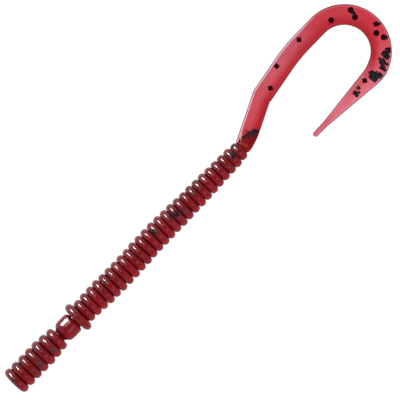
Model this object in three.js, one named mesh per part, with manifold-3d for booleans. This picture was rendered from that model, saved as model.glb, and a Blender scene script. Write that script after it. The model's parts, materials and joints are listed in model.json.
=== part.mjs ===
// A ring-ribbed soft plastic worm: seven head rings, an egg sac, a collar, 26 body rings and a flat hooked
// ribbon tail with glitter flakes in it. Millimetres. +X runs from the nose to the tail, +Z is up, and the
// worm lies on z = 0 with its tail leaving towards +Y. The origin is at the middle of the box around it, on its
// underside. Each section is its own solid, because the worm flexes in the grooves between them.
import * as THREE from "three";
import { mergeVertices } from "three/addons/utils/BufferGeometryUtils.js";
import Module from "manifold-3d";

const { cos, sin, tan, abs, PI } = Math;
const { degToRad, lerp, mapLinear, smoothstep } = THREE.MathUtils;

const wasm = await Module();
wasm.setup();

// Sections of the body
const SIDES = 20;
const RIM_STEPS = 6;
const RIM_DEPTH = 0.75; // how far a rib's rounded rim stands out past its flanks
const GROOVE = 0.6; // between the flanks of two neighbouring ribs
const CORE_GAP = 0.3; // between the middles of their end faces

const HEAD_RINGS = 7;
const HEAD_FIRST = -38.25;
const HEAD_PITCH = 2.39;
const HEAD_RADII = [[0, 3.6], [4, 3.6], [6, 3.15]]; // ring from the nose, radius
const NOSE_REACH = 1.2; // from the middle of the first ring to the nose's flat face
const NOSE_RADIUS = 2.6;

const SAC_START = -22.7;
const SAC_NECK = 1.5;
const SAC_END_GAP = 0.48; // between the sac and the collar
// The sac's outline behind its neck, as [distance, radius]
const SAC_PROFILE = [[0.6, 1.5], [0.75, 2.2], [1.3, 2.65], [2.4, 2.8], [3.8, 2.75], [4.6, 2.6]];
const SAC_END_RADIUS = 2.38;

const COLLAR_X = -16.25;
const COLLAR_RADIUS = 4.15;
const COLLAR_HALF = 0.9;
const COLLAR_RIM = 0.95;
const COLLAR_CORE = 1; // half the length between its end faces

const BODY_RINGS = 26;
const BODY_FIRST = -13.95;
const BODY_PITCH = 2.207;
const BODY_RADII = [[0, 3.25], [3, 3.55], [12, 3.5], [24, 2.75], [25, 2.45]]; // ring from the collar, radius

// The worm rests on its collar, its nose and its last rings, so its axis falls both ways from the collar.
const HEAD_FALL = degToRad(1.45);
const BODY_FALL = degToRad(1.35);
const WAVE = 0.26; // the body isn't quite straight: a slight S from side to side
const WAVE_START = -13;
const WAVE_LENGTH = 37;

// The tail's centre line seen from above: straight runs and arcs, each as its length and its turn to the left
const HOOK_RADIUS = 9.25;
const TAIL_RUNS = [
  { length: 1.9, turn: degToRad(25.3) }, // root bends to the shank
  { length: 11.28, turn: 0 }, // shank
  { length: 1.1, turn: degToRad(-15.6) }, // knee
  { length: 9.6, turn: 0 }, // ribbon's straight run
  { length: 7, turn: degToRad(-9.7) }, // easing to the body's direction
  { length: 5.6, turn: 0 },
  { length: PI * HOOK_RADIUS, turn: -PI }, // hook
  { length: 20.5, turn: 0 }, // taper back to the tip
];
const TAIL_LENGTH = TAIL_RUNS.reduce((sum, run) => sum + run.length, 0);
const ROOT_RADII = [[0, 1.9], [0.3, 2.15], [1.2, 2.3], [4.4, 2.4]]; // distance, radius
const ROOT_END = 4.4;
const ROUND_END = 0.6; // where the root starts to turn from round to flat
const RIBBON_WIDTHS = [
  [0, 4.8],
  [13.2, 4.8],
  [14.3, 5.12],
  [35.8, 5.15],
  [62.8, 5.35],
  [81.8, 1.5],
  [85.1, 1.3],
  [86.1, 0.6],
];
const RIBBON_THICKNESS = [[0, 2.4], [4.4, 1.9], [13.8, 1.45], [57.8, 1.3], [86.1, 0.8]];
const TOUCH_DOWN = 14.3; // where the drooping shank meets the table
// Where the ribbon flexes
const CUTS = [4.4, 10.7, 19.4, 26.5, 35.1, 42.8, 49.4, 57.1, 63, 69.3, 75, 80.6];
const CUT_GAP = 0.44;
const RIBBON_STEP = 1.35; // longest stretch between two sections of the ribbon
const OUTER_BEVEL = 0.5;
const INNER_BEVEL = 1.2;
const EDGE_LAND = 0.35; // upright edge, as a share of the thickness

// Glitter flakes: how far along the tail, how far to the left of its centre line, corners and turn
const FLAKES = [
  { along: 16.8, across: -0.62, corners: 4, turn: 0 },
  { along: 22.2, across: 1.2, corners: 4, turn: 40 },
  { along: 30.7, across: 0.9, corners: 4, turn: 10 },
  { along: 40.2, across: -0.8, corners: 6, turn: 0 },
  { along: 45.3, across: 1.2, corners: 6, turn: 15 },
  { along: 46.7, across: -0.3, corners: 6, turn: 25 },
  { along: 51.8, across: 1.2, corners: 4, turn: 20 },
  { along: 53.6, across: 0, corners: 6, turn: 0 },
  { along: 55.2, across: 1.2, corners: 6, turn: 10 },
  { along: 59, across: 1.2, corners: 6, turn: 20 },
  { along: 65.1, across: 1, corners: 6, turn: 5 },
  { along: 67.2, across: -0.5, corners: 4, turn: 15 },
];
const FLAKE_RADIUS = 0.85; // to its corners
const FLAKE_THICKNESS = 0.12;
const FLAKE_ROOM = 0.15; // clear space on every side of a flake in its recess
const FLAKE_DEPTH = 0.45; // from the ribbon's upper face to the flake
const RECESS_HEIGHT = 2; // enough to open a recess through the upper face

const COLOURS = { body: 0x7d1322, sac: 0x8a1828, ribbon: 0xc2404f, flake: 0x1c1620 };

// The value at x of a line through [x, value] stations.
function along(stations, x) {
  const last = stations.findIndex(([at]) => at >= x);
  if (last === 0) return stations[0][1];
  if (last < 0) return stations.at(-1)[1];
  const [x0, v0] = stations[last - 1];
  const [x1, v1] = stations[last];
  return mapLinear(x, x0, x1, v0, v1);
}

// Height of the body's axis above the table at a distance x along it.
function axisHeight(x) {
  const fall = x < COLLAR_X ? HEAD_FALL : BODY_FALL;
  return COLLAR_RADIUS - abs(x - COLLAR_X) * tan(fall);
}

function axisPoint(x) {
  const phase = THREE.MathUtils.clamp((x - WAVE_START) / WAVE_LENGTH, 0, 1);
  const sway = -WAVE * sin(2 * PI * phase) * sin(PI * phase);
  return new THREE.Vector3(x, sway, axisHeight(x));
}

function axisDirection(x) {
  const reach = 1;
  return axisPoint(x + reach).sub(axisPoint(x - reach)).normalize();
}

function makeMesh(name, geometry, colour) {
  const material = new THREE.MeshStandardMaterial({ color: colour, roughness: 0.25 });
  const mesh = new THREE.Mesh(geometry, material);
  mesh.name = name;
  return mesh;
}

// A turned solid, from a profile of [distance along the axis, radius], centred at x on the body's axis.
function turnedMesh(name, profile, x, colour) {
  const points = profile.map(([distance, radius]) => new THREE.Vector2(radius, distance));
  const geometry = new THREE.LatheGeometry(points, SIDES);
  geometry.rotateZ(-PI / 2);
  const mesh = makeMesh(name, geometry, colour);
  mesh.quaternion.setFromUnitVectors(new THREE.Vector3(1, 0, 0), axisDirection(x));
  mesh.position.copy(axisPoint(x));
  return mesh;
}

// The rounded rim of a rib, from one flank to the other. Each flank is halfWidth from the rib's middle.
function rim(radius, halfWidth, depth) {
  const points = [];
  for (let i = 0; i <= RIM_STEPS; i += 1) {
    const angle = lerp(-PI / 2, PI / 2, i / RIM_STEPS);
    points.push([halfWidth * sin(angle), radius - depth + depth * cos(angle)]);
  }
  return points;
}

// A rib with slightly conical end faces, which leave room to bend.
function ribMesh(name, x, radius, pitch) {
  const core = (pitch - CORE_GAP) / 2;
  const profile = [[-core, 0], ...rim(radius, (pitch - GROOVE) / 2, RIM_DEPTH), [core, 0]];
  return turnedMesh(name, profile, x, COLOURS.body);
}

function noseMesh(name, x, radius) {
  const core = (HEAD_PITCH - CORE_GAP) / 2;
  const profile = [
    [-NOSE_REACH, 0],
    [-NOSE_REACH, NOSE_RADIUS],
    ...rim(radius, (HEAD_PITCH - GROOVE) / 2, RIM_DEPTH),
    [core, 0],
  ];
  return turnedMesh(name, profile, x, COLOURS.body);
}

function headRings() {
  const rings = [];
  for (let i = 0; i < HEAD_RINGS; i += 1) {
    const name = `head_ring_${String(i + 1).padStart(2, "0")}`;
    const x = HEAD_FIRST + i * HEAD_PITCH;
    const radius = along(HEAD_RADII, i);
    rings.push(i === 0 ? noseMesh(name, x, radius) : ribMesh(name, x, radius, HEAD_PITCH));
  }
  return rings;
}

function bodyRings() {
  const rings = [];
  for (let i = 0; i < BODY_RINGS; i += 1) {
    const name = `body_ring_${String(i + 1).padStart(2, "0")}`;
    rings.push(ribMesh(name, BODY_FIRST + i * BODY_PITCH, along(BODY_RADII, i), BODY_PITCH));
  }
  return rings;
}

// The smooth barrel behind the head, with a narrow neck at its front.
function eggSac() {
  const length = COLLAR_X - COLLAR_HALF - SAC_END_GAP - SAC_START;
  const profile = [
    [0, 0],
    [0, SAC_NECK],
    ...SAC_PROFILE,
    [length, SAC_END_RADIUS],
    [length, 0],
  ];
  const centred = profile.map(([distance, radius]) => [distance - length / 2, radius]);
  return turnedMesh("egg_sac", centred, SAC_START + length / 2, COLOURS.sac);
}

function collarRing() {
  const rounded = rim(COLLAR_RADIUS, COLLAR_HALF, COLLAR_RIM);
  const profile = [[-COLLAR_CORE, 0], ...rounded, [COLLAR_CORE, 0]];
  return turnedMesh("collar_ring", profile, COLLAR_X, COLOURS.body);
}

// Where the tail's centre line starts: one core gap behind the last body ring.
function tailStart() {
  const x = BODY_FIRST + (BODY_RINGS - 0.5) * BODY_PITCH + CORE_GAP / 2;
  return axisPoint(x);
}

// The plan position and heading of the tail's centre line at a distance along it.
function tailPlan(distance) {
  const start = tailStart();
  const at = { x: start.x, y: start.y, heading: 0 };
  let left = distance;
  for (const run of TAIL_RUNS) {
    const step = Math.min(left, run.length);
    const turned = (run.turn * step) / run.length;
    const chord = turned ? (step * sin(turned / 2)) / (turned / 2) : step;
    at.x += chord * cos(at.heading + turned / 2);
    at.y += chord * sin(at.heading + turned / 2);
    at.heading += turned;
    left -= step;
  }
  return at;
}

// Height of the ribbon's middle: it droops from the body and then lies flat.
function tailHeight(distance) {
  const lying = along(RIBBON_THICKNESS, distance) / 2;
  return lerp(tailStart().z, lying, smoothstep(distance, 0, TOUCH_DOWN));
}

// A point beside the tail's centre line, from its distance along, its offset to the left and its rise.
function tailPoint(distance, across, rise) {
  const { x, y, heading } = tailPlan(distance);
  return new THREE.Vector3(x - across * sin(heading), y + across * cos(heading), tailHeight(distance) + rise);
}

// The eight corners of the ribbon's section as [across, rise]: level faces, bevels and upright edges.
function ribbonCorners(distance) {
  const half = along(RIBBON_WIDTHS, distance) / 2;
  const rise = along(RIBBON_THICKNESS, distance) / 2;
  const land = rise * EDGE_LAND;
  const share = Math.min(1, half / (OUTER_BEVEL + INNER_BEVEL));
  const outer = half - OUTER_BEVEL * share;
  const inner = -half + INNER_BEVEL * share;
  return [
    [half, -land],
    [half, land],
    [outer, rise],
    [inner, rise],
    [-half, land],
    [-half, -land],
    [inner, -rise],
    [outer, -rise],
  ];
}

// The root's section: twice the ribbon's corners, moved from a circle to the ribbon's own outline.
function rootCorners(distance) {
  const flat = smoothstep(distance, ROUND_END, ROOT_END);
  const radius = along(ROOT_RADII, distance);
  const ribbon = ribbonCorners(distance);
  const first = -PI / ribbon.length; // the circle's angle to the ribbon's first corner
  return ribbon.flatMap((corner, i) => {
    const next = ribbon[(i + 1) % ribbon.length];
    const middle = [(corner[0] + next[0]) / 2, (corner[1] + next[1]) / 2];
    return [corner, middle].map(([across, rise], j) => {
      const angle = first + ((2 * i + j) * PI) / ribbon.length;
      return [lerp(radius * cos(angle), across, flat), lerp(radius * sin(angle), rise, flat)];
    });
  });
}

// A solid through closed sections of equally many points, each anticlockwise seen from the far end.
function loft(sections) {
  const count = sections[0].length;
  const positions = sections.flat().flatMap((point) => point.toArray());
  const triangles = [];
  for (let s = 0; s + 1 < sections.length; s += 1) {
    for (let i = 0; i < count; i += 1) {
      const a = s * count + i;
      const b = s * count + ((i + 1) % count);
      triangles.push(a, b, a + count, b, b + count, a + count);
    }
  }
  const end = (sections.length - 1) * count;
  for (let i = 1; i + 1 < count; i += 1) {
    triangles.push(0, i + 1, i);
    triangles.push(end, end + i, end + i + 1);
  }
  const geometry = new THREE.BufferGeometry();
  geometry.setAttribute("position", new THREE.Float32BufferAttribute(positions, 3));
  geometry.setIndex(triangles);
  geometry.computeVertexNormals();
  return geometry;
}

function tailGeometry(from, to, corners) {
  const steps = Math.ceil((to - from) / RIBBON_STEP);
  const sections = [];
  for (let i = 0; i <= steps; i += 1) {
    const distance = lerp(from, to, i / steps);
    sections.push(corners(distance).map(([across, rise]) => tailPoint(distance, across, rise)));
  }
  return loft(sections);
}

function tailRoot() {
  return makeMesh("tail_root", tailGeometry(0, ROOT_END - CUT_GAP / 2, rootCorners), COLOURS.body);
}

// A flake's prism in its place in the ribbon, grown sideways by room, from a bottom to a top height.
function flakePrism(flake, room, bottom, top) {
  const radius = FLAKE_RADIUS + room / cos(PI / flake.corners);
  const geometry = new THREE.CylinderGeometry(radius, radius, top - bottom, flake.corners);
  geometry.rotateX(PI / 2);
  geometry.rotateZ(tailPlan(flake.along).heading + degToRad(flake.turn));
  const place = tailPoint(flake.along, flake.across, 0);
  geometry.translate(place.x, place.y, (bottom + top) / 2);
  return geometry;
}

function flakeBottom(flake) {
  const face = tailHeight(flake.along) + along(RIBBON_THICKNESS, flake.along) / 2;
  return face - FLAKE_DEPTH - FLAKE_THICKNESS;
}

function flakeRecess(flake) {
  const bottom = flakeBottom(flake) - FLAKE_ROOM;
  return flakePrism(flake, FLAKE_ROOM, bottom, bottom + RECESS_HEIGHT);
}

function flakeMesh(flake, index) {
  const bottom = flakeBottom(flake);
  const name = `flake_${String(index + 1).padStart(2, "0")}`;
  return makeMesh(name, flakePrism(flake, 0, bottom, bottom + FLAKE_THICKNESS), COLOURS.flake);
}

function toSolid(geometry) {
  const bare = new THREE.BufferGeometry();
  bare.setAttribute("position", geometry.getAttribute("position"));
  bare.setIndex(geometry.getIndex());
  const merged = mergeVertices(bare, 1e-4);
  return new wasm.Manifold(
    new wasm.Mesh({
      numProp: 3,
      vertProperties: merged.getAttribute("position").array,
      triVerts: new Uint32Array(merged.getIndex().array),
    }),
  );
}

function toGeometry(solid) {
  const mesh = solid.getMesh();
  const geometry = new THREE.BufferGeometry();
  geometry.setAttribute("position", new THREE.Float32BufferAttribute(mesh.vertProperties, 3));
  geometry.setIndex(Array.from(mesh.triVerts));
  geometry.computeVertexNormals();
  return geometry;
}

// One length of ribbon, with a recess for each flake in it.
function ribbonMesh(index) {
  const from = CUTS[index] + CUT_GAP / 2;
  const to = index + 1 < CUTS.length ? CUTS[index + 1] - CUT_GAP / 2 : TAIL_LENGTH;
  const inside = FLAKES.filter((flake) => flake.along > from && flake.along < to);
  const solid = inside.reduce(
    (rest, flake) => rest.subtract(toSolid(flakeRecess(flake))),
    toSolid(tailGeometry(from, to, ribbonCorners)),
  );
  const name = `ribbon_${String(index + 1).padStart(2, "0")}`;
  return makeMesh(name, toGeometry(solid), COLOURS.ribbon);
}

function buildWorm() {
  const worm = new THREE.Group();
  worm.name = "soft_plastic_worm";
  worm.add(...headRings(), eggSac(), collarRing(), ...bodyRings(), tailRoot());
  worm.add(...CUTS.map((_, index) => ribbonMesh(index)), ...FLAKES.map(flakeMesh));
  const box = new THREE.Box3().setFromObject(worm, true);
  const middle = box.getCenter(new THREE.Vector3()).setZ(box.min.z);
  for (const mesh of worm.children) mesh.position.sub(middle);
  return worm;
}

export default buildWorm();
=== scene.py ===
"""A ring-ribbed soft plastic worm with an egg sac, a collar and a flat hooked ribbon tail, on a white floor.

Lengths here are in millimetres until a mesh is made. Every section of the body takes its place and size from
the CAD nodes and from the joints between them. Each carries a ball at its rear joint that fills the groove
there, so the grooves stay closed as the worm bends.
"""

import json
import math
import random

import bpy
from mathutils import Matrix, Vector

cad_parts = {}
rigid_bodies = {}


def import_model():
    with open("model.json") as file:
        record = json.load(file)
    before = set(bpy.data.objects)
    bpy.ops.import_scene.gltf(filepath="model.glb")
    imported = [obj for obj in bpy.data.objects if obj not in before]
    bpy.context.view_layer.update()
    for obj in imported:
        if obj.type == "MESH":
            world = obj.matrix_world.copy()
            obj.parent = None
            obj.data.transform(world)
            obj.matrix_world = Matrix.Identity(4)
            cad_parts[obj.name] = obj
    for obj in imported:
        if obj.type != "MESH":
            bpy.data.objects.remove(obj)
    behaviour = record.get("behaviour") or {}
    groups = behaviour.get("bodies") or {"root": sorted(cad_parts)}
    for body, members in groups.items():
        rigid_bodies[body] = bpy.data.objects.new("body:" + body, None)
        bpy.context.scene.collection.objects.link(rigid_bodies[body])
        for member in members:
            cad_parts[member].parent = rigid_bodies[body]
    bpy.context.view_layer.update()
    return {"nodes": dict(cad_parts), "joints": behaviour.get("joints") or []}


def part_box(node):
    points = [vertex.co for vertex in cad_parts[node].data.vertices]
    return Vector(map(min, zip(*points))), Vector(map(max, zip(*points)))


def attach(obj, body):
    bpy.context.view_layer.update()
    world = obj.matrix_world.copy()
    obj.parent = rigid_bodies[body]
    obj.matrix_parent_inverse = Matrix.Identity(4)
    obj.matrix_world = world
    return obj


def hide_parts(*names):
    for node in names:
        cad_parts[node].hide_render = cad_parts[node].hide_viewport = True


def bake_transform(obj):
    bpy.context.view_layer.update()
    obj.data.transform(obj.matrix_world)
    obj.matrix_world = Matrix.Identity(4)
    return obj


MM = 0.001

# Camera: straight above, with the worm's axis running up to the right across the picture
CAMERA_ROLL = -45.84
CAMERA_HEIGHT = 1500
CAMERA_LENS = 540
CAMERA_AIM = (0.87, -0.07)
CAMERA_REACH = 100  # in metres, so that the whole floor is in range

FLOOR_DEPTH = 85  # the floor is far enough below for every pose to clear it
FLOOR_SIZE = 40000
FLOOR_GREY = 0.15
FLOOR_GLOW = 0.95

# The studio's grey by height, from 0 at the horizon to 1 overhead, where the camera is
STUDIO_GREYS = [(0.05, 0.95), (0.3, 0.5), (0.62, 0.42), (0.8, 0.12), (0.95, 0.04)]
# How the studio dims from its +Y side to its -Y side
STUDIO_SIDES = {"From Min": -0.6, "From Max": 0.3, "To Min": 0.3, "To Max": 0.9}

# Lamps as (name, azimuth, elevation, distance, width, height, watts, highlights). The last is True for a
# lamp that gives highlights only, and False for one that gives soft light only
LAMPS = [
    ("key", 90, 24, 1200, 400, 740, 31, True),
    ("key_glow", 90, 58, 1200, 260, 740, 3.2, True),
    ("soft_key", 90, 50, 600, 400, 300, 0.7, False),
    ("fill", -88, 45, 600, 400, 300, 2.0, False),
    ("fill_glow", -90, 55, 500, 300, 260, 0.2, True),
]

PLASTIC_IOR = 1.47
RIBBON_CLARITY = 0.98

# Body sections
RING_SIDES = 72
RIM_STEPS = 26
GROOVE_RADIUS = 0.71  # radius in a groove, as a share of the rib's own
GROOVE_WIDTH = 0.03  # between the rims of two neighbouring ribs
BALL_STEPS = 8
BALL_START = 0.01  # a joint's ball starts this far in front of the joint, just behind the rim
BALL_REACH = 0.85  # how far a joint's ball reaches into the next section
BALL_SHARE = 0.96  # a joint's ball stays just under the groove's floor
NECK_RADIUS = 1.55
NECK_GAP = 0.06  # between the last head rib and the joint at the neck
SAC_BALL = 1.95
SAC_BALL_START = 0.02  # behind the end of the sac's outline
COLLAR_FLOOR = 2.7
ROOT_BALL = 1.7
# The sac's outline, as (distance from the joint in front, radius)
SAC_OUTLINE = [
    (0.1, 1.62),
    (0.4, 1.75),
    (0.85, 2.25),
    (1.3, 2.62),
    (1.8, 2.77),
    (2.4, 2.82),
    (3.4, 2.83),
    (4.4, 2.81),
    (4.9, 2.66),
    (5.3, 2.05),
]
SAC_STEPS = 6  # between two points of the outline
NOSE_REACH = 1.15
NOSE_FACE = 1.9
NOSE_STEPS = 16
NOSE_POWER = 0.85  # less than 1 makes the nose's edge blunter than a quarter of an ellipse
NOSE_DOME = [(0.12, 0), (0.11, 0.7), (0.06, 1.4)]  # (distance in front of the face's edge, radius)

# Every section differs a little in lean, girth and tone, as moulded plastic does
LEAN = 0.008
GIRTHS = (1.01, 1.035)
TONES = (0, 0.5)

# The tail's centre line seen from above, as (length, turn to the left in degrees)
HOOK_RADIUS = 9.25
TAIL_RUNS = [
    (1.9, 25.3),
    (11.28, 0),
    (1.1, -15.6),
    (9.6, 0),
    (7, -9.7),
    (5.6, 0),
    (math.pi * HOOK_RADIUS, -180),
    (20.5, 0),
]
TAIL_LENGTH = sum(length for length, _ in TAIL_RUNS)
TAIL_SETBACK = 0.15  # from the last joint of the body to the start of the tail
ROOT_START = -TAIL_SETBACK  # the root reaches forward to the joint, in the groove behind the last rib
ROOT_RADII = [(ROOT_START, 1.5), (0.2, 1.85), (1, 2.0), (2, 2.05), (4.4, 2.35)]
OUTER_FLATTENS = (-1.5, 0.9)  # the root turns into a blade along its outer side first
INNER_FLATTENS = (0.8, 5.6)
# Width and thickness, as (distance along the tail, value)
RIBBON_WIDTHS = [(0, 4.8), (13.2, 4.8), (14.3, 5.12), (35.8, 5.15), (62.8, 5.35), (81.8, 1.5), (86.1, 1.3)]
RIBBON_THICKNESS = [(0, 2.4), (4.4, 1.9), (13.8, 1.45), (57.8, 1.3), (86.1, 0.8)]
TOUCH_DOWN = 14.3  # where the tail has drooped to the table
# Where the tail bends: at the cuts between the CAD's lengths of ribbon
CUTS = [4.4, 10.7, 19.4, 26.5, 35.1, 42.8, 49.4, 57.1, 63, 69.3, 75, 80.6]
BEND_REACH = 1.6  # half a length around each cut; the tail's points at either end of it are found but not used
RIBBON_STEP = 0.35
OUTER_ROUND = 0.55
INNER_ROUND = 1.2
QUARTER_STEPS = 10
SEAM = 0.0001  # keeps the points where two quarters meet on top and underneath apart
TIP_ROUND = 0.65
TIP_END = 0.02  # keeps the rounding of the tip from closing to a point
TIP_THINNEST = 0.4  # the share of its thickness that the tip keeps as its width runs out
EDGE_SCALE = 5  # distances from the ribbon's edges are stored as shares of this
ROOT_SLANT = 1.0  # the deep red of the root ends on a slant across the ribbon
ROOT_FADE = (3.2, 3.9)
ROOT_RIM = (1.5, 2.0)  # and it leaves the thin outer edge clear


def srgb(red, green, blue):
    """A linear colour from 0 to 255 screen values."""

    def linear(value):
        share = value / 255
        return share / 12.92 if share <= 0.04045 else ((share + 0.055) / 1.055) ** 2.4

    return (linear(red), linear(green), linear(blue), 1)


def along(stations, x):
    """The value at x of a line through (x, value) stations."""
    if x <= stations[0][0]:
        return stations[0][1]
    for (x0, v0), (x1, v1) in zip(stations, stations[1:]):
        if x <= x1:
            return v0 + (v1 - v0) * (x - x0) / (x1 - x0)
    return stations[-1][1]


def smoothstep(x, low, high):
    """A smooth rise from 0 at low to 1 at high."""
    share = min(max((x - low) / (high - low), 0), 1)
    return share * share * (3 - 2 * share)


# Scene: camera, light and floor


def make_camera():
    data = bpy.data.cameras.new("camera")
    data.lens = CAMERA_LENS
    data.clip_end = CAMERA_REACH
    camera = bpy.data.objects.new("camera", data)
    camera.location = (CAMERA_AIM[0] * MM, CAMERA_AIM[1] * MM, CAMERA_HEIGHT * MM)
    camera.rotation_euler = (0, 0, math.radians(CAMERA_ROLL))
    bpy.context.scene.collection.objects.link(camera)
    bpy.context.scene.camera = camera


def make_softbox(name, azimuth, elevation, distance, width, height, watts, highlights):
    """A rectangular lamp that faces the worm. Azimuth 0 is along +X and 90 along +Y. It gives either
    highlights or soft light."""
    data = bpy.data.lights.new(name, "AREA")
    data.shape = "RECTANGLE"
    data.size = width * MM
    data.size_y = height * MM
    data.energy = watts
    lamp = bpy.data.objects.new(name, data)
    a, e = math.radians(azimuth), math.radians(elevation)
    away = Vector((math.cos(a) * math.cos(e), math.sin(a) * math.cos(e), math.sin(e)))
    lamp.location = away * distance * MM
    lamp.rotation_euler = away.to_track_quat("Z", "Y").to_euler()
    lamp.visible_glossy = highlights
    lamp.visible_diffuse = not highlights
    bpy.context.scene.collection.objects.link(lamp)


def set_stops(ramp, stops):
    """Give a colour ramp its stops, as (position, grey or colour) from low to high."""
    elements = ramp.color_ramp.elements
    while len(elements) < len(stops):
        elements.new(0.5)
    for element, (position, colour) in zip(elements, stops):
        element.position = position
        element.color = colour if isinstance(colour, tuple) else (colour, colour, colour, 1)


def make_world():
    """White below the horizon and darker the higher it is, so that the worm's top mirrors a dark studio."""
    world = bpy.data.worlds.new("studio")
    bpy.context.scene.world = world
    world.use_nodes = True
    nodes, links = world.node_tree.nodes, world.node_tree.links
    coordinates = nodes.new("ShaderNodeTexCoord")
    split = nodes.new("ShaderNodeSeparateXYZ")
    ramp = nodes.new("ShaderNodeValToRGB")
    links.new(coordinates.outputs["Generated"], split.inputs[0])
    links.new(split.outputs["Z"], ramp.inputs["Fac"])
    side = nodes.new("ShaderNodeMapRange")
    links.new(split.outputs["Y"], side.inputs["Value"])
    for name, value in STUDIO_SIDES.items():
        side.inputs[name].default_value = value
    links.new(ramp.outputs["Color"], nodes["Background"].inputs["Color"])
    links.new(side.outputs["Result"], nodes["Background"].inputs["Strength"])
    set_stops(ramp, STUDIO_GREYS)


def make_floor():
    bpy.ops.mesh.primitive_plane_add(size=FLOOR_SIZE * MM, location=(0, 0, -FLOOR_DEPTH * MM))
    floor = bpy.context.object
    floor.name = "floor"
    material = bpy.data.materials.new("floor_white")
    material.use_nodes = True
    shader = material.node_tree.nodes["Principled BSDF"]
    shader.inputs["Base Color"].default_value = (FLOOR_GREY, FLOOR_GREY, FLOOR_GREY, 1)
    shader.inputs["Roughness"].default_value = 0.9
    shader.inputs["Specular IOR Level"].default_value = 0
    shader.inputs["Emission Color"].default_value = (1, 1, 1, 1)
    shader.inputs["Emission Strength"].default_value = FLOOR_GLOW
    floor.data.materials.append(material)
    floor.visible_glossy = False  # the worm's sides mirror the dim studio instead of the floor


# Materials


class Shader:
    """Short ways to make and join the nodes of one material."""

    def __init__(self, name):
        self.material = bpy.data.materials.new(name)
        self.material.use_nodes = True
        self.nodes = self.material.node_tree.nodes
        self.links = self.material.node_tree.links
        self.surface = self.nodes["Principled BSDF"]
        self.output = self.nodes["Material Output"]

    def put(self, socket, value):
        if isinstance(value, bpy.types.NodeSocket):
            self.links.new(value, socket)
        else:
            socket.default_value = value

    def add(self, kind, inputs=None, **settings):
        node = self.nodes.new("ShaderNode" + kind)
        for key, value in settings.items():
            setattr(node, key, value)
        for key, value in (inputs or {}).items():
            self.put(node.inputs[key], value)
        return node

    def noise(self, scale, detail=3):
        place = self.add("TexCoord").outputs["Object"]
        return self.add("TexNoise", {"Vector": place, "Scale": scale, "Detail": detail}).outputs["Fac"]

    def attribute(self, name):
        return self.add("Attribute", attribute_name=name).outputs["Fac"]

    def ramp(self, value, *stops):
        node = self.add("ValToRGB", {"Fac": value})
        set_stops(node, stops)
        return node.outputs["Color"]

    def mix(self, amount, first, second):
        node = self.add("Mix", data_type="RGBA")
        for socket, value in ((node.inputs[0], amount), (node.inputs[6], first), (node.inputs[7], second)):
            self.put(socket, value)
        return node.outputs[2]

    def math(self, operation, first, second):
        node = self.add("Math", operation=operation)
        self.put(node.inputs[0], first)
        self.put(node.inputs[1], second)
        return node.outputs[0]

    def bump(self, height, strength, distance):
        node = self.add("Bump", {"Height": height, "Strength": strength, "Distance": distance})
        self.put(self.surface.inputs["Normal"], node.outputs["Normal"])
        return node.outputs["Normal"]

    def feed(self, **inputs):
        for key, value in inputs.items():
            self.put(self.surface.inputs[key.replace("_", " ")], value)


def body_plastic():
    """Dark crimson plastisol, darkened in the grooves by painted shade, and cloudy where a flake lies under
    the surface.
    """
    s = Shader("body_plastic")
    wisps = s.math("MULTIPLY", s.math("SUBTRACT", s.noise(420, 5), 0.5), 1.1)
    # painted shade: the colour darkens from the crest down into the groove, following the rise attribute
    tone = s.ramp(
        s.math("ADD", s.attribute("rise"), wisps),
        (0.05, srgb(90, 4, 15)),
        (0.5, srgb(118, 9, 26)),
        (1.0, srgb(158, 32, 50)),
    )
    veined = s.mix(s.ramp(s.noise(130), (0.45, 0.0), (0.62, 0.6)), tone, srgb(140, 26, 20))
    bright = s.mix(s.attribute("tone"), veined, srgb(170, 22, 32))
    flake = s.math("MULTIPLY", s.attribute("flake"), s.ramp(s.noise(900, 4), (0.3, 0.75), (0.6, 1.0)))
    film = s.ramp(flake, (0.45, srgb(92, 60, 66)), (0.85, srgb(26, 16, 22)))
    colour = s.mix(s.ramp(flake, (0.1, 0.0), (0.55, 0.85)), bright, film)
    s.feed(Base_Color=colour, Roughness=s.ramp(s.noise(900), (0.3, 0.12), (0.7, 0.15)), IOR=PLASTIC_IOR)
    s.feed(Subsurface_Weight=0.4, Subsurface_Radius=(1, 0.15, 0.15), Subsurface_Scale=0.001)
    s.bump(s.noise(4500), 0.05, 0.00001)
    return s.material


# The ribbon's colours by the share of its length, on its face and along its inner side
RIBBON_FACE = [
    (0.0, srgb(198, 60, 72)),
    (0.14, srgb(208, 86, 98)),
    (0.32, srgb(204, 92, 108)),
    (0.42, srgb(200, 66, 80)),
    (0.62, srgb(206, 62, 74)),
    (0.76, srgb(226, 114, 128)),
    (1.0, srgb(232, 142, 156)),
]
RIBBON_INNER_SIDE = [
    (0.0, srgb(176, 30, 40)),
    (0.3, srgb(184, 46, 54)),
    (0.7, srgb(180, 40, 50)),
    (0.85, srgb(220, 108, 122)),
]


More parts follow.
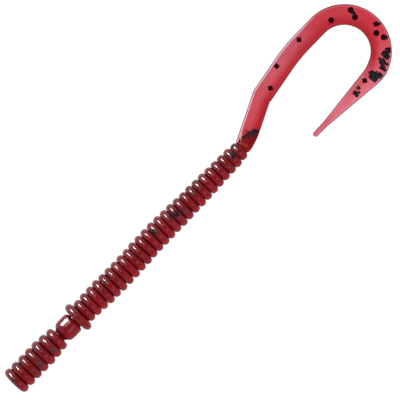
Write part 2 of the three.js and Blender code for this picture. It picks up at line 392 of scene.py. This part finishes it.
def ribbon_colour(s, root, outer, inner, near):
    """Deep red at the root and along the inner side, paler towards the tip, with a painted highlight along
    the outer edge before the hook and a dark line of painted shade along both edges. Outer, inner and near
    are the distances from each edge and the nearer one."""
    distance = s.attribute("along")
    face = s.ramp(distance, *RIBBON_FACE)
    inner_side = s.ramp(distance, *RIBBON_INNER_SIDE)
    colour = s.mix(s.ramp(inner, (0.2, 1.0), (0.56, 0.0)), face, inner_side)
    clouds = s.noise(190, 4)
    colour = s.mix(s.ramp(clouds, (0.4, 0.0), (0.75, 0.4)), colour, srgb(178, 40, 54))
    # painted highlight: a near-white strip along the outer edge, mostly before the hook, where that edge
    # faces the key lamp
    outer_edge_highlight = s.ramp(outer, (0.09, 1.0), (0.12, 0.0))
    before_hook = s.ramp(distance, (0.38, 0.85), (0.44, 0.15))
    colour = s.mix(s.math("MULTIPLY", outer_edge_highlight, before_hook), colour, srgb(232, 190, 200))
    # painted shade: a dark line along both edges, standing in for the dark that the rounded edges refract
    line = s.ramp(near, (0.035, 1.0), (0.06, 0.0))
    colour = s.mix(s.math("MULTIPLY", line, 0.8), colour, srgb(112, 52, 66))
    deep = s.ramp(clouds, (0.35, srgb(132, 12, 24)), (0.65, srgb(168, 26, 30)))
    return s.mix(root, colour, deep)


def ribbon_plastic():
    """The same plastic where it is thin enough to see through: nearly clear except at the root, and shiny
    on its outside only, less so near its edges."""
    s = Shader("ribbon_plastic")
    root, outer, inner = s.attribute("root"), s.attribute("outer"), s.attribute("inner")
    near = s.math("MINIMUM", outer, inner)
    colour = ribbon_colour(s, root, outer, inner, near)
    s.feed(Base_Color=colour, Roughness=0.5, Specular_IOR_Level=0.0)
    normal = s.bump(s.noise(700), 0.06, 0.0001)
    tint = s.add("Gamma", {"Color": colour, "Gamma": 0.5}).outputs["Color"]
    clear = s.add("BsdfTransparent", {"Color": tint})
    share = s.math("MULTIPLY", s.math("SUBTRACT", 1.0, root), RIBBON_CLARITY)
    inside = s.add("MixShader", {0: share, 1: s.surface.outputs[0], 2: clear.outputs[0]})
    gloss = s.add("BsdfGlossy", {"Color": (1, 1, 1, 1), "Roughness": 0.18, "Normal": normal})
    facing = s.add("Fresnel", {"IOR": PLASTIC_IOR, "Normal": normal}).outputs[0]
    outside = s.math("SUBTRACT", 1.0, s.add("NewGeometry").outputs["Backfacing"])
    shine = s.math("MULTIPLY", s.math("MULTIPLY", facing, outside), s.ramp(near, (0.06, 0.04), (0.2, 0.4)))
    whole = s.add("MixShader", {0: shine, 1: inside.outputs[0], 2: gloss.outputs[0]})
    s.put(s.output.inputs["Surface"], whole.outputs[0])
    return s.material


def glitter_film():
    """Nearly black film with an uneven sheen."""
    s = Shader("glitter_film")
    grain = s.noise(2500)
    s.feed(Base_Color=s.ramp(grain, (0.3, srgb(12, 13, 20)), (0.7, srgb(38, 37, 50))))
    s.feed(Roughness=s.ramp(grain, (0.3, 0.22), (0.7, 0.42)))
    s.bump(grain, 0.15, 0.00005)
    return s.material


# Meshes


def make_piece(name, points, faces, material, attributes):
    """A smooth-shaded object from points in millimetres, with attributes that hold one value per point."""
    mesh = bpy.data.meshes.new(name)
    mesh.from_pydata([Vector(p) * MM for p in points], [], faces)
    for key, values in attributes.items():
        mesh.attributes.new(key, "FLOAT", "POINT").data.foreach_set("value", values)
    mesh.polygons.foreach_set("use_smooth", [True] * len(mesh.polygons))
    mesh.materials.append(material)
    piece = bpy.data.objects.new(name, mesh)
    bpy.context.scene.collection.objects.link(piece)
    return piece


def turn(outline, origin, direction):
    """Points and faces of a closed solid of revolution, from an outline of (distance, radius) that starts
    and ends on its axis."""
    to_world = Vector((1, 0, 0)).rotation_difference(direction).to_matrix()
    points = [origin + direction * outline[0][0]]
    for distance, radius in outline[1:-1]:
        for i in range(RING_SIDES):
            angle = 2 * math.pi * i / RING_SIDES
            spoke = Vector((distance, radius * math.cos(angle), radius * math.sin(angle)))
            points.append(origin + to_world @ spoke)
    points.append(origin + direction * outline[-1][0])
    rows = len(outline) - 2
    last = 1 + (rows - 1) * RING_SIDES
    faces = []
    for i in range(RING_SIDES):
        j = (i + 1) % RING_SIDES
        faces.append((0, 1 + j, 1 + i))
        for start in range(1, last, RING_SIDES):
            after = start + RING_SIDES
            faces.append((start + i, start + j, after + j, after + i))
        faces.append((last + i, last + j, len(points) - 1))
    return points, faces


def spline(stations, steps):
    """A smooth curve through (distance, radius) stations."""
    ends = [stations[0], *stations, stations[-1]]
    curve = []
    for four in zip(ends, ends[1:], ends[2:], ends[3:]):
        distances, radii = zip(*four)
        for i in range(steps):
            t = i / steps
            weights = (-t + 2 * t**2 - t**3, 2 - 5 * t**2 + 3 * t**3, t + 4 * t**2 - 3 * t**3, t**3 - t**2)
            distance = sum(w * value for w, value in zip(weights, distances)) / 2
            radius = sum(w * value for w, value in zip(weights, radii)) / 2
            curve.append((distance, radius))
    return [*curve, stations[-1]]


def rim(radius, floor, half_width):
    """The outline of a rib's rim, half an ellipse from groove to groove."""
    outline = []
    for i in range(RIM_STEPS + 1):
        angle = math.pi * (i / RIM_STEPS - 0.5)
        outline.append((half_width * math.sin(angle), floor + (radius - floor) * math.cos(angle)))
    return outline


def ball(centre, radius, start):
    """The outline of the rest of a ball on the rear joint at distance centre, from distance start."""
    outline = []
    for i in range(BALL_STEPS + 1):
        distance = start + (centre + BALL_REACH - start) * i / BALL_STEPS
        outline.append((distance, math.sqrt(radius**2 - (distance - centre) ** 2)))
    return [*outline, (centre + BALL_REACH, 0)]


class Section:
    """One section of the body: where it lies between its joints, and how far out it reaches."""

    def __init__(self, name, front, rear):
        low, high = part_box(name)
        self.name = name
        self.front = front
        self.rear = rear
        self.length = (rear - front).length
        self.direction = (rear - front).normalized()
        self.middle = (front + rear) / 2
        self.radius = (high.z - low.z) / 2 / MM
        self.floor = self.radius * GROOVE_RADIUS

    def surface(self, behind, angle):
        """A point as far out as the crest and some way behind the middle. Angle 0 is on top and 90 on the
        left, in degrees."""
        left = Vector((0, 0, 1)).cross(self.direction).normalized()
        up = self.direction.cross(left)
        turned = math.radians(angle)
        outward = up * math.cos(turned) + left * math.sin(turned)
        return self.middle + self.direction * behind + outward * self.radius


def find_sections(frame):
    """The sections of the body in order from the nose, and the joint behind the last."""
    joints = {frozenset((j["parent"], j["child"])): Vector(j["pos_m"]) / MM for j in frame["joints"]}
    head = sorted(name for name in frame["nodes"] if name.startswith("head_ring"))
    body = sorted(name for name in frame["nodes"] if name.startswith("body_ring"))
    order = [*head, "egg_sac", "collar_ring", *body]
    rears = [joints[frozenset(pair)] for pair in zip(order, [*order[1:], "tail_root"])]
    fronts = [2 * rears[0] - rears[1], *rears]
    return [Section(*parts) for parts in zip(order, fronts, rears)]


def rib_outline(section, ball_radius, floor=None, half_width=None):
    """A rib from its flat front to the end of the ball at its rear joint."""
    floor = floor or section.floor
    half = half_width or (section.length - GROOVE_WIDTH) / 2
    joint = section.length / 2
    return [(-half, 0), *rim(section.radius, floor, half), *ball(joint, ball_radius, joint - BALL_START)]


def nose_outline(section, ball_radius):
    """The first rib, with its front drawn out to a blunt, slightly domed face."""
    dome = [(-NOSE_REACH - distance, radius) for distance, radius in NOSE_DOME]
    rounded = []
    for i in range(NOSE_STEPS + 1):
        angle = math.pi / 2 * i / NOSE_STEPS
        reach = NOSE_REACH * math.cos(angle) ** NOSE_POWER
        rounded.append((-reach, NOSE_FACE + (section.radius - NOSE_FACE) * math.sin(angle) ** NOSE_POWER))
    rear = [(distance, radius) for distance, radius in rib_outline(section, ball_radius) if distance > 0]
    return [*dome, *rounded, *rear]


def sac_outline(section):
    """The egg sac, with the neck at its front."""
    joint = section.length / 2
    curve = [(distance - joint, radius) for distance, radius in spline(SAC_OUTLINE, SAC_STEPS)]
    return [(curve[0][0], 0), *curve, *ball(joint, SAC_BALL, curve[-1][0] + SAC_BALL_START)]


def outline_of(section, following):
    """The outline of one section. Following is the section behind it."""
    behind = following.floor if following else ROOT_BALL
    ball_radius = min(section.floor, behind) * BALL_SHARE
    if section.name == "egg_sac":
        return sac_outline(section)
    if section.name == "collar_ring":
        return rib_outline(section, ball_radius, floor=COLLAR_FLOOR)
    if section.name == "head_ring_01":
        return nose_outline(section, ball_radius)
    if following and following.name == "egg_sac":
        return rib_outline(section, NECK_RADIUS * BALL_SHARE, half_width=section.length / 2 - NECK_GAP)
    return rib_outline(section, ball_radius)


# Glitter that shows through the surface of the body: section, how far behind its middle, degrees to the left
# of the top, size, and how plainly it shows
MARKS = [
    ("head_ring_01", -1.0, 5, 1.0, 0.8),
    ("head_ring_02", 0, 66, 0.8, 0.9),
    ("head_ring_03", 0, -22, 0.8, 0.4),
    ("head_ring_04", -0.1, -20, 1.15, 0.6),
    ("head_ring_04", 0.9, 0, 0.7, 0.6),
    ("head_ring_05", -0.3, 32, 0.7, 0.8),
    ("head_ring_06", -0.1, -18, 1.0, 0.6),
    ("head_ring_06", 0, 68, 0.8, 0.9),
    ("head_ring_07", -1.0, 30, 0.7, 0.7),
    ("collar_ring", 0, 70, 0.7, 0.5),
    ("body_ring_05", 0, 24, 0.7, 0.7),
    ("body_ring_12", 0, 80, 0.8, 0.7),
    ("body_ring_13", -0.5, 18, 1.05, 1.0),
    ("body_ring_15", 0.9, 14, 0.9, 0.9),
    ("body_ring_16", 0.1, 6, 1.2, 1.0),
    ("body_ring_17", 0, -15, 0.9, 0.55),
    ("body_ring_17", 0, 66, 0.7, 0.8),
    ("body_ring_19", 0, 24, 0.85, 0.9),
    ("body_ring_19", -0.2, 64, 0.7, 0.8),
    ("body_ring_20", 0, 60, 0.6, 0.6),
    ("body_ring_24", 0.2, -22, 0.8, 0.55),
    ("body_ring_25", 0.6, 8, 1.15, 1.0),
    ("body_ring_26", 0, 62, 0.9, 1.0),
    ("body_ring_26", 1.1, 30, 0.7, 1.0),
]
MARK_REACH = 8  # marks further than this from a section's middle don't show on it
# More of the same by chance on the flanks and underneath
HIDDEN_MARKS = 26
HIDDEN_OFFSETS = (-0.8, 0.8)
HIDDEN_ANGLES = (75, 180)
HIDDEN_SIZES = (0.6, 1.1)
HIDDEN_STRENGTHS = (0.4, 1)


def glitter_marks(sections):
    """The marks as (place, size, strength)."""
    by_name = {section.name: section for section in sections}
    marks = [(by_name[name].surface(behind, angle), *look) for name, behind, angle, *look in MARKS]
    dice = random.Random(11)
    for _ in range(HIDDEN_MARKS):
        section = dice.choice(sections)
        angle = dice.choice((-1, 1)) * dice.uniform(*HIDDEN_ANGLES)
        place = section.surface(dice.uniform(*HIDDEN_OFFSETS), angle)
        marks.append((place, dice.uniform(*HIDDEN_SIZES), dice.uniform(*HIDDEN_STRENGTHS)))
    return marks


def mark_strength(point, place, size, strength):
    """How plainly one mark shows at a point."""
    return strength * math.exp(-(((point - place).length / size) ** 3))


def body_attributes(section, points, marks, tone):
    """Per point: rise from groove to crest, which sets the painted groove shade, the section's own tone, and
    how much of a flake shows.
    """
    rises, shown = [], []
    near_marks = [mark for mark in marks if (mark[0] - section.middle).length < MARK_REACH]
    for point in points:
        offset = point - section.middle
        out = (offset - section.direction * offset.dot(section.direction)).length
        rises.append(min(max((out - section.floor) / (section.radius - section.floor), 0), 1))
        shown.append(max((mark_strength(point, *mark) for mark in near_marks), default=0))
    return {"rise": rises, "tone": [tone] * len(points), "flake": shown}


def make_sections(sections, material):
    """Every section of the body."""
    dice = random.Random(7)
    marks = glitter_marks(sections)
    for section, following in zip(sections, [*sections[1:], None]):
        lean = Vector((0, dice.uniform(-LEAN, LEAN), dice.uniform(-LEAN, LEAN)))
        direction = (section.direction + lean).normalized()
        girth = dice.uniform(*GIRTHS)
        outline = [(distance, radius * girth) for distance, radius in outline_of(section, following)]
        points, faces = turn(outline, section.middle, direction)
        attributes = body_attributes(section, points, marks, tone=dice.uniform(*TONES))
        piece = make_piece("soft_" + section.name, points, faces, material, attributes)
        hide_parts(section.name)
        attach(piece, section.name)


class Tail:
    """The tail's centre line and section."""

    def __init__(self, last_joint):
        self.start = last_joint + Vector((TAIL_SETBACK, 0, 0))

    def plan(self, distance):
        """Position and heading seen from above."""
        x, y, heading, left = self.start.x + min(distance, 0), self.start.y, 0, distance
        for length, turned in TAIL_RUNS:
            step = min(max(left, 0), length)
            bend = math.radians(turned) * step / length
            chord = step * math.sin(bend / 2) / (bend / 2) if bend else step
            x += chord * math.cos(heading + bend / 2)
            y += chord * math.sin(heading + bend / 2)
            heading += bend
            left -= length
        return x, y, heading

    def height(self, distance):
        """The height of the centre line, which droops from the body's axis until the ribbon lies flat."""
        droop = smoothstep(distance, 0, TOUCH_DOWN)
        return self.start.z * (1 - droop) + along(RIBBON_THICKNESS, distance) / 2 * droop

    def point(self, distance, across=0, rise=0):
        """A point beside and above the centre line. Across is to the left."""
        x, y, heading = self.plan(distance)
        x -= across * math.sin(heading)
        y += across * math.cos(heading)
        return Vector((x, y, self.height(distance) + rise))

    def half_width(self, distance):
        """Half the ribbon's width, rounded off at the tip."""
        half = along(RIBBON_WIDTHS, distance) / 2
        left = max(TAIL_LENGTH - distance, 0)
        if left < TIP_ROUND:
            half *= math.sqrt(max(1 - (1 - left / TIP_ROUND) ** 2, TIP_END))
        return half

    def face(self, distance, across):
        """How high the upper face lies above the centre line."""
        upper = sorted((place.x, place.y) for place in self.section(distance) if place.y >= 0)
        return along(upper, across)

    def section(self, distance):
        """Points of the section as (across, rise), in four quarters that turn from round to flat. The outer
        edge is on the left, and its rounding is tighter than the inner edge's."""
        half = self.half_width(distance)
        rise = along(RIBBON_THICKNESS, distance) / 2
        if TAIL_LENGTH - distance < TIP_ROUND:
            rise *= TIP_THINNEST + (1 - TIP_THINNEST) * half / (along(RIBBON_WIDTHS, distance) / 2)
        share = min(1, half / (OUTER_ROUND + INNER_ROUND))
        radius = along(ROOT_RADII, distance)
        outer = smoothstep(distance, *OUTER_FLATTENS)
        inner = smoothstep(distance, *INNER_FLATTENS)
        points = []
        for quarter, reach in enumerate((OUTER_ROUND, INNER_ROUND, INNER_ROUND, OUTER_ROUND)):
            side = 1 if quarter in (0, 3) else -1
            # the second and the last quarter end at an edge of the ribbon, where the next one starts
            count = QUARTER_STEPS + 1 if quarter in (0, 2) else QUARTER_STEPS
            for i in range(count):
                angle = math.pi / 2 * (quarter + i / QUARTER_STEPS)
                across = side * (half - reach * share) + reach * share * math.cos(angle)
                blade = Vector((across, rise * math.sin(angle)))
                circle = Vector((radius * math.cos(angle), radius * math.sin(angle)))
                flat = inner + (outer - inner) * (1 + math.cos(angle)) / 2
                apart = Vector((side * SEAM, 0)) if i % QUARTER_STEPS == 0 else Vector((0, 0))
                points.append(circle.lerp(blade, flat) + apart)
        return points


def tail_piece(tail, name, start, end, material, close_start=False, close_end=False):
    """A length of the tail, left open where another length carries on from it."""
    steps = max(2, round((end - start) / RIBBON_STEP))
    points = []
    attributes = {"along": [], "outer": [], "inner": [], "root": []}
    for i in range(steps + 1):
        distance = start + (end - start) * i / steps
        half = tail.half_width(distance)
        for across, rise in tail.section(distance):
            points.append(tail.point(distance, across, rise))
            attributes["along"].append(distance / TAIL_LENGTH)
            attributes["outer"].append((half - across) / EDGE_SCALE)
            attributes["inner"].append((half + across) / EDGE_SCALE)
            deep = 1 - smoothstep(distance + across * ROOT_SLANT, *ROOT_FADE)
            attributes["root"].append(deep * (1 - smoothstep(across, *ROOT_RIM)))
    count = len(points) // (steps + 1)
    faces = []
    for row in range(steps):
        for i in range(count):
            a, b = row * count + i, row * count + (i + 1) % count
            faces.append((a, b, b + count, a + count))
    if close_start:
        faces.append(tuple(reversed(range(count))))
    if close_end:
        faces.append(tuple(range(steps * count, (steps + 1) * count)))
    return make_piece(name, points, faces, material, attributes)


def make_tail(tail, bodies, material):
    """The tail in lengths, one around each cut. They meet in the middle between two cuts."""
    middles = [(a + b) / 2 for a, b in zip(CUTS, CUTS[1:])]
    ends = [ROOT_START, *middles, TAIL_LENGTH]
    for i, cut in enumerate(CUTS):
        first, last = i == 0, i == len(CUTS) - 1
        name = "soft_" + bodies[i]
        piece = tail_piece(tail, name, ends[i], ends[i + 1], material, close_start=first, close_end=last)
        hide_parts(*bodies[i : i + (2 if last else 1)])
        tail.point(cut - BEND_REACH) * MM
        tail.point(cut + BEND_REACH) * MM
        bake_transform(piece)


# Flakes at the upper face of the tail: along, across, corners, turn in degrees, and radius
SURFACE_FLAKES = [
    (1.1, 1.4, 4, 10, 0.45),
    (1.7, 1.5, 4, 30, 0.45),
    (2.5, 1.0, 4, 0, 0.7),
    (3.1, 0.3, 4, 20, 0.9),
    (3.9, -0.4, 4, 60, 1.0),
    (4.7, -1.1, 4, 20, 1.1),
    (5.2, -1.6, 4, 50, 0.7),
    (3.7, -1.5, 4, 0, 0.7),
    (46.1, 0.5, 4, 10, 0.7),
    (52.2, 1.9, 4, 30, 0.5),
    (55.4, 1.8, 4, 0, 0.6),
    (58.2, 1.6, 4, 50, 1.05),
    (59.0, 0.7, 4, 10, 1.05),
    (59.6, 1.5, 4, 25, 0.9),
    (60.3, -0.2, 4, 20, 0.6),
    (60.9, 0.6, 6, 0, 1.0),
    (61.1, 1.8, 4, 0, 0.6),
    (62.1, 1.0, 4, 40, 0.95),
    (62.4, 1.9, 4, 10, 0.6),
    (63.9, 1.5, 4, 40, 1.0),
    (64.3, 0.4, 4, 10, 1.15),
    (64.7, -0.5, 4, 15, 1.0),
    (65.2, 0.9, 4, 50, 1.15),
    (65.4, 0.0, 5, 20, 0.8),
    (69.6, -0.4, 4, 10, 0.7),
    (70.4, 0.5, 4, 40, 0.55),
    (71.1, -0.1, 5, 0, 0.75),
    (71.3, 0.7, 4, 30, 0.6),
]
FLAKE_RISE = 0.01  # how far above the face a flake's top lies
FLAKE_TILT = 0.05  # radians, either way
FLAKE_REACHES = (0.9, 1.05)  # how far out a flake's corners lie, as shares of its radius
FILM = 0.06  # thickness of a flake


def flake_mesh(corners, radius, dice):
    """Points and faces of a flat flake with uneven corners."""
    reaches = [radius * dice.uniform(*FLAKE_REACHES) for _ in range(corners)]
    points = []
    for level in (-FILM / 2, FILM / 2):
        for i, reach in enumerate(reaches):
            angle = 2 * math.pi * i / corners
            points.append(Vector((reach * math.cos(angle), reach * math.sin(angle), level)))
    faces = [tuple(reversed(range(corners))), tuple(range(corners, 2 * corners))]
    for i in range(corners):
        j = (i + 1) % corners
        faces.append((i, j, corners + j, corners + i))
    return points, faces


def make_flakes(tail, bodies, material):
    dice = random.Random(3)
    for number, (distance, across, corners, turned, radius) in enumerate(SURFACE_FLAKES, start=1):
        body = bodies[sum(cut < distance for cut in CUTS)]
        heading = tail.plan(distance)[2]
        centre = tail.point(distance, across, tail.face(distance, across) + FLAKE_RISE - FILM / 2)
        roll = Matrix.Rotation(dice.uniform(-FLAKE_TILT, FLAKE_TILT), 3, "X")
        pitch = Matrix.Rotation(dice.uniform(-FLAKE_TILT, FLAKE_TILT), 3, "Y")
        spin = Matrix.Rotation(heading + math.radians(turned), 3, "Z")
        points, faces = flake_mesh(corners, radius, dice)
        placed = [centre + roll @ pitch @ spin @ point for point in points]
        piece = make_piece(f"glitter_{number:02d}", placed, faces, material, {})
        piece.data.polygons.foreach_set("use_smooth", [False] * len(faces))
        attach(piece, body)


def dress_flakes(frame, material):
    """The embedded flakes are the frame's own solids, with a better material."""
    for name, node in frame["nodes"].items():
        if name.startswith("flake_"):
            node.data.materials.clear()
            node.data.materials.append(material)


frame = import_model()
bpy.context.scene.view_settings.view_transform = "Standard"
make_camera()
make_world()
make_floor()
for lamp in LAMPS:
    make_softbox(*lamp)
sections = find_sections(frame)
tail = Tail(sections[-1].rear)
tail_bodies = ["tail_root", *sorted(name for name in frame["nodes"] if name.startswith("ribbon_"))]
film = glitter_film()
make_sections(sections, body_plastic())
make_tail(tail, tail_bodies, ribbon_plastic())
make_flakes(tail, tail_bodies, film)
dress_flakes(frame, film)
